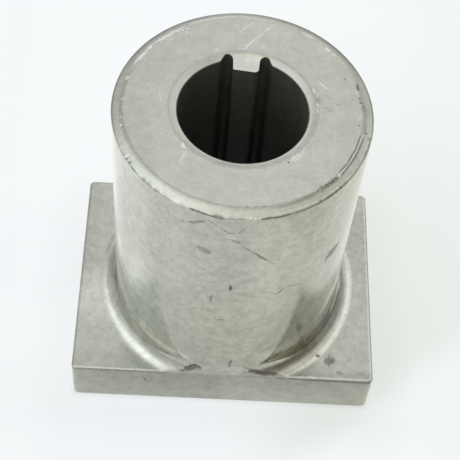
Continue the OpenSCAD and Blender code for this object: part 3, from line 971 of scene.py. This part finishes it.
def flange_steel(groups):
    """The fillet, the flange and the underside, with painted highlights along the fillet and the edges, and painted
    light and shade in the fillet's root and on the faces.
    """
    steel = Steel("flange_steel", groups)
    bench = steel.bench
    place = steel.wandering("Body", 0.8)
    split = bench.put("ShaderNodeSeparateXYZ", {0: steel.places["Body"]}).outputs
    along = split[0]
    depth = split[1]
    height = split[2]
    radius = bench.vector("LENGTH", steel.places["Plan"], output=1)
    patchy = bench.ramp(steel.grain["Grain"], 0.35, 0.55, 0.5, 1.0)
    top_edge = bench.ramp(height, 10.4, 10.65)
    both_ends = steel.any(bench.ramp(along, -12.0, -10.8, 1.0, 0.0), bench.ramp(along, 9.5, 11.5))
    lit_ends = steel.any(bench.ramp(along, -12.0, -10.8, 1.0, 0.0), bench.ramp(along, 12.5, 15.5))
    # Painted highlights along the front and right top edges, and painted shade in the dark outlines of the right and
    # left edges
    front_edge = steel.both(steel.band(depth, -22.03, -21.74, 0.06), top_edge, lit_ends, patchy)
    front_edge = steel.both(front_edge, bench.ramp(along, -4.0, 4.0, 0.5, 0.42))
    right_edge = steel.both(steel.band(along, 28.7, 28.98, 0.07), top_edge, patchy)
    right_outline = steel.both(bench.ramp(along, 29.05, 29.2), top_edge)
    left_outline = steel.both(bench.ramp(along, -29.1, -28.5, 1.0, 0.0), bench.ramp(height, 10.0, 10.4))
    on_face = bench.ramp(depth, -22.2, -22.0, 1.0, 0.0)
    # A darker line just below the front top edge, towards both ends
    edge_height = bench.math("ADD", height, bench.ramp(along, 11.0, 24.0, 0.1, 0.5))
    under_edge = steel.both(bench.ramp(depth, -22.12, -22.02, 1.0, 0.0), bench.ramp(edge_height, 10.38, 10.55), both_ends)
    under_edge = steel.both(under_edge, bench.ramp(along, -4.0, 4.0, 0.3, 0.55))
    bright = steel.any(
        steel.marks(FLANGE_BRIGHT, place, on_flange),
        front_edge,
        bench.math("MULTIPLY", right_edge, 0.4),
    )
    dark = steel.any(
        steel.marks(FLANGE_DARK, place, on_flange),
        steel.marks(FRONT_DARK, place, on_front),
        steel.both(right_outline, bench.ramp(depth, -6.0, 4.0, 0.35, 0.15)),
        bench.math("MULTIPLY", left_outline, 0.32),
        under_edge,
    )
    # Painted highlight on the fillet where it catches the light, stronger on the right, and painted highlight lines
    # along it
    on_left = bench.ramp(along, -4.0, 4.0, 1.0, 0.0)
    sheen_end = bench.ramp(on_left, 0.0, 1.0, bench.ramp(depth, -15.0, -8.0, 25.6, 26.4), 25.0)
    from_end = bench.math("SUBTRACT", radius, sheen_end)
    fillet_sheen = steel.both(bench.ramp(from_end, -0.4, 0.6, 1.0, 0.0), bench.ramp(height, 10.8, 11.2))
    sheen_left = bench.ramp(depth, -17.0, -8.0, 1.22, 1.13)
    sheen_shade = bench.ramp(fillet_sheen, 0.0, 1.0, 1.0, bench.ramp(on_left, 0.0, 1.0, 1.25, sheen_left))
    left_line = steel.both(steel.band(radius, 23.5, 24.9, 0.35), on_left, bench.ramp(along, -12.5, -10.5, 1.0, 0.0))
    left_line = steel.both(left_line, bench.ramp(depth, -20.0, -16.0, 0.28, 0.12), bench.ramp(depth, -12.0, -8.0, 1.0, 0.0))
    right_line_r = bench.math("SUBTRACT", radius, bench.ramp(depth, 0.0, 6.0, 0.0, 0.2))
    right_line = steel.both(steel.band(right_line_r, 24.8, 25.7, 0.25), bench.ramp(along, 6.0, 14.0))
    right_line = steel.both(right_line, bench.ramp(depth, 6.5, 9.0, 0.42, 0.0))
    line_shade = bench.math("ADD", steel.both(steel.any(left_line, right_line), top_edge), 1.0)
    # Painted shade and painted light in the fillet's root and in bands along it
    root = steel.both(steel.band(radius, 22.5, 23.0, 0.2), bench.ramp(along, 8.0, 14.0), top_edge)
    root_shade = bench.ramp(steel.both(root, bench.ramp(depth, -3.0, 1.0, 1.0, 0.0)), 0.0, 1.0, 1.0, 0.84)
    back_root = steel.both(bench.ramp(radius, 23.1, 23.6, 1.0, 0.0), steel.band(depth, -1.0, 15.0, 2.0), bench.ramp(along, 8.0, 14.0))
    back_root_shade = bench.ramp(back_root, 0.0, 1.0, 1.0, 1.25)
    side_r = bench.math("SUBTRACT", radius, bench.ramp(depth, -5.0, 0.0, 0.0, 0.5))
    right_root = steel.both(bench.ramp(side_r, 22.35, 22.8, 1.0, 0.0), bench.ramp(depth, -11.0, -4.0), bench.ramp(along, 8.0, 14.0))
    right_root_shade = bench.ramp(right_root, 0.0, 1.0, 1.0, 3.1)
    left_root = steel.both(bench.ramp(radius, 22.6, 23.0, 1.0, 0.0), bench.ramp(depth, -3.0, 1.0), on_left)
    left_root = steel.both(left_root, bench.ramp(depth, 12.0, 18.0, 1.0, 0.0))
    left_bands = steel.both(steel.band(radius, 22.7, 24.1, 0.3), steel.band(depth, -9.0, 1.5, 2.0), on_left)
    left_bands_shade = bench.ramp(left_bands, 0.0, 1.0, 1.0, 0.93)
    left_root_shade = bench.ramp(left_root, 0.0, 1.0, 1.0, 1.7)
    right_bands = steel.any(steel.band(radius, 22.95, 23.3, 0.15), steel.band(radius, 24.1, 24.5, 0.2))
    right_bands = steel.both(right_bands, steel.band(depth, -8.5, -2.5, 1.5), bench.ramp(along, 8.0, 14.0))
    right_bands_shade = bench.ramp(right_bands, 0.0, 1.0, 1.0, 0.88)
    back_line = steel.both(steel.band(radius, 24.5, 25.2, 0.25), bench.ramp(depth, 3.0, 6.0), on_left, top_edge)
    back_line_shade = bench.ramp(back_line, 0.0, 1.0, 1.0, 0.78)
    front_root = steel.both(bench.ramp(radius, 23.7, 24.2, 1.0, 0.0), bench.ramp(depth, -20.4, -19.4, 1.0, 0.0), top_edge)
    front_root = steel.both(front_root, bench.ramp(along, 2.5, 4.5), bench.ramp(along, 10.5, 13.0, 1.0, 0.0))
    front_root_shade = bench.ramp(front_root, 0.0, 1.0, 1.0, 0.8)
    front_strip = steel.both(steel.band(depth, -21.55, -20.7, 0.2), bench.ramp(along, 9.5, 12.0))
    front_strip_shade = bench.ramp(front_strip, 0.0, 1.0, 1.0, 0.88)
    # Painted shade on the fillet's inner part, and painted light and shade on the front face, the front strip of the
    # top, a spot on the left and behind both ends
    shifted = bench.math("ADD", radius, bench.ramp(depth, -18.0, -2.0, 0.12, -0.25))
    inner = bench.ramp(shifted, 23.3, 24.3, 1.0, 0.0)
    beside = bench.ramp(depth, -17.0, -8.0)
    inner_shade = bench.ramp(steel.both(inner, beside), 0.0, 1.0, 1.0, bench.ramp(on_left, 0.0, 1.0, 0.6, 0.8))
    face_light = bench.ramp(along, -20.0, 20.0, 0.885, 0.905)
    face_fall = bench.ramp(height, 2.0, 12.0, 1.1, 1.06)
    face_shade = bench.ramp(on_face, 0.0, 1.0, 1.0, steel.both(face_light, face_fall))
    strip = steel.both(bench.ramp(depth, -22.0, -15.0, 1.0, 0.0), on_left)
    strip_shade = bench.ramp(strip, 0.0, 1.0, 1.0, 0.87)
    off_spot = bench.vector("SUBTRACT", steel.places["Plan"], (-25.5, -6.0, 0))
    spot_shade = bench.ramp(bench.vector("LENGTH", off_spot, output=1), 2.0, 8.0, 1.22, 1.0)
    behind = steel.both(bench.ramp(along, -28.0, -25.0, 1.0, 0.0), bench.ramp(depth, -3.0, 3.0))
    behind_shade = bench.ramp(behind, 0.0, 1.0, 1.0, 0.94)
    behind_right = steel.both(bench.ramp(along, 23.0, 26.0), bench.ramp(depth, 0.0, 4.0), bench.ramp(depth, 16.5, 19.5, 1.0, 0.0))
    behind_right_shade = bench.ramp(behind_right, 0.0, 1.0, 1.0, 0.92)
    shade = steel.both(sheen_shade, line_shade, inner_shade, root_shade, face_shade, strip_shade)
    shade = steel.both(shade, back_root_shade, right_root_shade, left_root_shade, front_root_shade)
    shade = steel.both(shade, back_line_shade, front_strip_shade, right_bands_shade, left_bands_shade)
    shade = steel.both(shade, spot_shade, behind_shade, behind_right_shade)
    # Painted warm tint on the fillet's highlight at the front right
    warm = steel.both(bench.ramp(along, 5.0, 10.0), bench.ramp(depth, -18.0, -12.0, 1.0, 0.0), fillet_sheen)
    warmth = steel.tinted(warm, (1.04, 1.0, 0.97))
    return steel.finish((0.49, 0.504, 0.462), 0.2, 0.16, bright, dark, shade, warmth)


def bore_skin(groups):
    """The inside of the bore, nearly black and dull."""
    steel = Steel("bore_skin", groups)
    bench = steel.bench
    shade = bench.ramp(steel.grain["Grain"], 0.3, 0.7, 0.8, 1.2)
    colour = bench.blend(1.0, (0.085, 0.085, 0.073, 1), shade, "MULTIPLY")
    skin = bench.put("ShaderNodeBsdfPrincipled", {"Base Color": colour, "Metallic": 0.2, "Roughness": 0.5})
    bench.put("ShaderNodeOutputMaterial", {"Surface": skin.outputs[0]})
    return steel.material


def body_materials():
    """The finish of each region of the body, by name."""
    groups = {"places": part_places_group(), "grain": steel_grain_group(), "mark": mark_group()}
    return {
        "faced": faced_steel(groups),
        "mouth": countersunk_steel(groups),
        "hub": tumbled_steel(groups),
        "flange": flange_steel(groups),
        "bore": bore_skin(groups),
    }


def make_body():
    """The adapter's body as one closed mesh."""
    section = body_section()
    grid = weathered(np.array(section.rings))
    low = np.array(node_low) / MM
    high = np.array(node_high) / MM
    grid = np.clip(grid, low, high)
    rows, columns = grid.shape[:2]
    starts = np.arange(rows)[:, None] * columns + np.arange(columns)[None, :]
    below = np.roll(starts, -1, axis=0)
    faces = np.stack([starts, np.roll(starts, -1, axis=1), np.roll(below, -1, axis=1), below], axis=2)
    mesh = bpy.data.meshes.new("blade_adapter_body")
    mesh.from_pydata((grid.reshape(-1, 3) * MM).tolist(), [], faces.reshape(-1, 4).tolist())
    finishes = body_materials()
    names = list(finishes)
    for material in finishes.values():
        mesh.materials.append(material)
    slots = np.repeat([names.index(finish) for finish in section.finishes], columns)
    mesh.polygons.foreach_set("material_index", slots.astype(np.int32))
    mesh.polygons.foreach_set("use_smooth", np.ones(len(slots), dtype=bool))
    mesh.update()
    body = bpy.data.objects.new("blade_adapter_body", mesh)
    bpy.context.scene.collection.objects.link(body)
    return body


# Table, light and camera

def make_floor():
    """A pale table top, much larger than the part. The camera sees mostly a pale backdrop with painted shadows;
    reflections see it lit, with painted glowing patches and painted dim spots near the part.
    """
    half = 3.0
    mesh = bpy.data.meshes.new("table_top")
    mesh.from_pydata([(-half, -half, 0), (half, -half, 0), (half, half, 0), (-half, half, 0)], [], [(0, 1, 2, 3)])
    material = bpy.data.materials.new("white_table")
    material.use_nodes = True
    tree = material.node_tree
    tree.nodes.clear()
    bench = Bench(tree)
    place = bench.put("ShaderNodeTexCoord").outputs["Object"]
    split = bench.put("ShaderNodeSeparateXYZ", {0: place}).outputs
    shade = bench.ramp(split[0], -0.06, 0.08)
    behind = bench.ramp(split[1], -0.045, 0.02)
    # Painted shade in the lit colour, seen mostly in reflections: darker towards the front
    pale = bench.blend(behind, (0.79, 0.785, 0.735, 1), (0.95, 0.95, 0.92, 1))
    # Painted glowing patches, seen mostly in reflections: to the left, behind, at the foot, beside the part and at its
    # front corners
    glow = bench.blend(shade, (0.2, 0.22, 0.25, 1), (0, 0, 0, 1))
    glow = bench.blend(behind, glow, (0.07, 0.075, 0.08, 1), "ADD")
    at_foot = bench.ramp(split[1], -0.0275, -0.0225)
    glow = bench.blend(at_foot, glow, (0.16, 0.155, 0.135, 1), "ADD")
    aside = bench.math("ABSOLUTE", split[0])
    beside = bench.math("MULTIPLY", bench.ramp(aside, 0.032, 0.045, 1.0, 0.0), bench.ramp(split[1], -0.005, 0.012))
    beside = bench.math("MULTIPLY", beside, bench.ramp(split[1], 0.014, 0.028, 1.0, 0.3))
    beside = bench.math("MULTIPLY", beside, bench.ramp(split[0], -0.01, 0.01, 0.4, 1.15))
    beside_glow = bench.blend(bench.ramp(split[0], -0.01, 0.01), (0.15, 0.155, 0.15, 1), (0.155, 0.172, 0.188, 1))
    glow = bench.blend(beside, glow, beside_glow, "ADD")
    corner = bench.math("MULTIPLY", bench.ramp(aside, 0.03, 0.041), bench.ramp(aside, 0.05, 0.066, 1.0, 0.0))
    corner = bench.math("MULTIPLY", corner, bench.ramp(split[1], -0.052, -0.042))
    corner = bench.math("MULTIPLY", corner, bench.ramp(split[1], -0.032, -0.022, 1.0, 0.0))
    glow = bench.blend(corner, glow, (0.13, 0.13, 0.12, 1), "ADD")
    off_right = bench.vector("SUBTRACT", place, (0.028, -0.047, 0))
    front_right = bench.ramp(bench.vector("LENGTH", off_right, output=1), 0.006, 0.024, 1.0, 0.0)
    glow = bench.blend(front_right, glow, (0.14, 0.14, 0.13, 1), "ADD")
    # Painted dim areas in reflections: far to the sides, and two spots on the left
    dim = bench.math("MULTIPLY", bench.ramp(aside, 0.038, 0.05, 1.0, 0.87), bench.ramp(aside, 0.06, 0.16, 1.0, 0.55))
    off_left = bench.vector("SUBTRACT", place, (-0.04, 0.009, 0))
    left_spot = bench.ramp(bench.vector("LENGTH", off_left, output=1), 0.006, 0.02, 0.82, 1.0)
    dim = bench.math("MULTIPLY", dim, left_spot)
    off_left = bench.vector("SUBTRACT", place, (-0.041, -0.0215, 0))
    left_spot = bench.ramp(bench.vector("LENGTH", off_left, output=1), 0.004, 0.014, 0.88, 1.0)
    dim = bench.math("MULTIPLY", dim, left_spot)
    glow = bench.blend(1.0, glow, dim, "MULTIPLY")
    lit = bench.put("ShaderNodeBsdfDiffuse", {"Color": bench.blend(1.0, pale, dim, "MULTIPLY")})
    glow = bench.put("ShaderNodeEmission", {"Color": glow})
    lit = bench.put("ShaderNodeAddShader", {0: lit.outputs[0], 1: glow.outputs[0]})
    # What the camera sees: a pale backdrop, slightly darker to the right, with a painted shadow to the right of the
    # part and a painted contact shadow round its foot
    to_right = bench.ramp(split[0], -0.05, 0.03)
    right_tint = bench.blend(bench.ramp(split[1], -0.035, -0.01), (0.912, 0.948, 0.966, 1), (0.9, 0.932, 0.95, 1))
    tint = bench.blend(to_right, (0.905, 0.926, 0.946, 1), right_tint)
    slanted = bench.math("SUBTRACT", split[1], bench.math("MULTIPLY", split[0], 0.8))
    side_shade = bench.math("MULTIPLY", bench.ramp(slanted, -0.0526, -0.0396), bench.ramp(split[0], 0.0, 0.028))
    side_shade = bench.math("MULTIPLY", side_shade, bench.ramp(split[1], 0.005, 0.085, 1.0, 0.05))
    side_shade = bench.math("MULTIPLY", side_shade, bench.ramp(split[0], 0.028, 0.06, 1.05, 0.6))
    tint = bench.blend(side_shade, tint, bench.blend(1.0, tint, (0.87, 0.892, 0.825, 1), "MULTIPLY"))
    outside = bench.vector("SUBTRACT", bench.vector("ABSOLUTE", place), (FLANGE_HALF_L * MM, FLANGE_HALF_W * MM, 0))
    distance = bench.vector("LENGTH", bench.vector("MAXIMUM", outside, (0, 0, 0)), output=1)
    contact_shadow = bench.math("MULTIPLY", bench.ramp(distance, 0.0, 0.001, 0.92, 1.0), bench.ramp(distance, 0.002, 0.013, 0.95, 1.0))
    tint = bench.blend(1.0, tint, contact_shadow, "MULTIPLY")
    # The backdrop that camera rays see, with its painted shadows
    plain = bench.put("ShaderNodeEmission", {"Color": tint})
    seen = bench.put("ShaderNodeLightPath").outputs["Is Camera Ray"]
    share = bench.math("MULTIPLY", seen, 0.9)
    both = bench.put("ShaderNodeMixShader", {0: share, 1: lit.outputs[0], 2: plain.outputs[0]})
    bench.put("ShaderNodeOutputMaterial", {"Surface": both.outputs[0]})
    mesh.materials.append(material)
    floor = bpy.data.objects.new("table_top", mesh)
    bpy.context.scene.collection.objects.link(floor)
    return floor


def heading(azimuth, elevation):
    """Direction at an azimuth, clockwise from +Y, and an elevation, both in degrees."""
    turn = math.radians(azimuth)
    rise = math.radians(elevation)
    return (math.sin(turn) * math.cos(rise), math.cos(turn) * math.cos(rise), math.sin(rise))


def light_patch(bench, towards, centre, core, rim):
    """1 within the core angle of a direction, 0 past the rim angle, and soft between, in degrees."""
    facing = bench.vector("DOT_PRODUCT", towards, heading(*centre), 1)
    away = bench.math("ARCCOSINE", facing)
    return bench.ramp(away, math.radians(core), math.radians(rim), 1.0, 0.0)


def make_light():
    """A white room: a broad soft light to the left, a window behind to the right, a dim corner in front."""
    world = bpy.data.worlds.new("studio")
    bpy.context.scene.world = world
    world.use_nodes = True
    tree = world.node_tree
    tree.nodes.clear()
    bench = Bench(tree)
    towards = bench.vector("NORMALIZE", bench.put("ShaderNodeTexCoord").outputs["Generated"])
    height = bench.put("ShaderNodeSeparateXYZ", {0: towards}).outputs[2]
    light = bench.blend(bench.math("MAXIMUM", height, 0.0), (0.62, 0.615, 0.58, 1), (1.0, 0.995, 0.955, 1))
    left_box = light_patch(bench, towards, (-92, 52), 8, 40)
    light = bench.blend(left_box, light, (0.42, 0.46, 0.49, 1), "ADD")
    back_wall = light_patch(bench, towards, (0, 42), 4, 24)
    light = bench.blend(back_wall, light, (0.03, 0.03, 0.08, 1), "ADD")
    right_wall = light_patch(bench, towards, (92, 45), 22, 55)
    light = bench.blend(right_wall, light, (0.8, 0.79, 0.78, 1), "MULTIPLY")
    window = light_patch(bench, towards, (48, 52), 7, 17)
    light = bench.blend(window, light, (0.36, 0.37, 0.34, 1), "ADD")
    corner = light_patch(bench, towards, (120, 10), 15, 55)
    light = bench.blend(corner, light, (0.3, 0.27, 0.22, 1), "MULTIPLY")
    low_left = light_patch(bench, towards, (-90, 8), 5, 24)
    light = bench.blend(low_left, light, (0.25, 0.25, 0.24, 1), "ADD")
    low_right = light_patch(bench, towards, (90, 6), 5, 22)
    light = bench.blend(low_right, light, (0.2, 0.19, 0.17, 1), "ADD")
    shown = bench.put("ShaderNodeBackground", {"Color": light, "Strength": 1.0})
    bench.put("ShaderNodeOutputWorld", {"Surface": shown.outputs[0]})


CAMERA_AIM = (-0.293, -2.974, 32.7)
CAMERA_DISTANCE = 241.6
CAMERA_AZIMUTH = math.radians(3.43)
CAMERA_ELEVATION = math.radians(56.26)
CAMERA_ROLL = math.radians(5.84)
CAMERA_LENS = 100.7


def make_camera():
    """The camera at the photograph's own angle."""
    data = bpy.data.cameras.new("camera")
    data.lens = CAMERA_LENS
    data.sensor_width = 36.0
    data.clip_start = 0.01
    data.clip_end = 20.0
    camera = bpy.data.objects.new("camera", data)
    bpy.context.scene.collection.objects.link(camera)
    look = Vector((
        math.sin(CAMERA_AZIMUTH) * math.cos(CAMERA_ELEVATION),
        math.cos(CAMERA_AZIMUTH) * math.cos(CAMERA_ELEVATION),
        -math.sin(CAMERA_ELEVATION),
    ))
    camera.location = (Vector(CAMERA_AIM) - look * CAMERA_DISTANCE) * MM
    camera.rotation_mode = "QUATERNION"
    camera.rotation_quaternion = look.to_track_quat("-Z", "Y") @ Quaternion((0, 0, 1), CAMERA_ROLL)
    bpy.context.scene.camera = camera


body = make_body()
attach(body, "root")
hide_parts("adapter_body")
make_floor()
make_light()
make_camera()
bpy.context.scene.view_settings.view_transform = "Standard"
